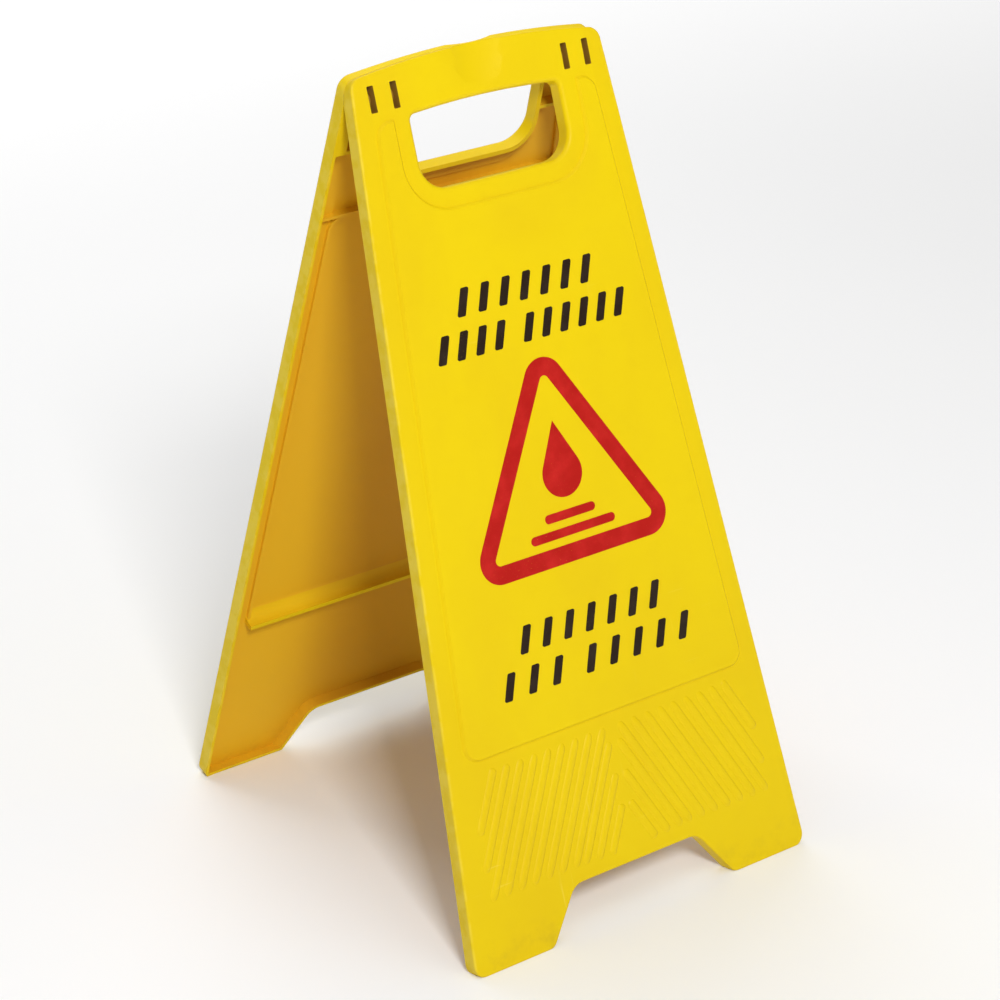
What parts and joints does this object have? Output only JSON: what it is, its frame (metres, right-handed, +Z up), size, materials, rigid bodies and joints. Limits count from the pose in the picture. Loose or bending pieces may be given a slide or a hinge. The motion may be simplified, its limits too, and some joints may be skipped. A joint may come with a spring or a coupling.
{
  "type": "wet floor sign",
  "caption": "Free-standing folding wet floor sign of hinged, hollow-backed yellow panels, with a carrying handle, notched feet and printed warning artwork.",
  "frame": {"origin": "on the floor, midway between the feet and straight under the hinge axis", "axes": "+Z up, X across the sign along its hinge, -Y towards the front printed face"},
  "size_m": [0.3022, 0.3788, 0.6034],
  "materials": {
    "panel_plastic": "moulded polypropylene, satin with a fine grain",
    "pin_plastic": "smooth moulded plastic",
    "black_ink": "printed ink, slightly glossy",
    "red_ink": "printed ink, slightly glossy"
  },
  "bodies": {
    "front": {"front_panel": "panel_plastic", "left_hinge_pin": "pin_plastic", "right_hinge_pin": "pin_plastic", "front_upper_short_dashes": "black_ink", "front_upper_long_dashes": "black_ink", "front_lower_short_dashes": "black_ink", "front_lower_long_dashes": "black_ink", "front_triangle_print": "red_ink", "front_drop_print": "red_ink"},
    "rear": {"rear_panel": "panel_plastic", "rear_upper_short_dashes": "black_ink", "rear_upper_long_dashes": "black_ink", "rear_lower_short_dashes": "black_ink", "rear_lower_long_dashes": "black_ink", "rear_triangle_print": "red_ink", "rear_drop_print": "red_ink"}
  },
  "joints": [
    {"name": "top_hinge", "type": "hinge", "parent": "front", "child": "rear", "pos_m": [0, 0, 0.57856], "axis": [1, 0, 0], "range_deg": [-34, 0]}
  ]
}
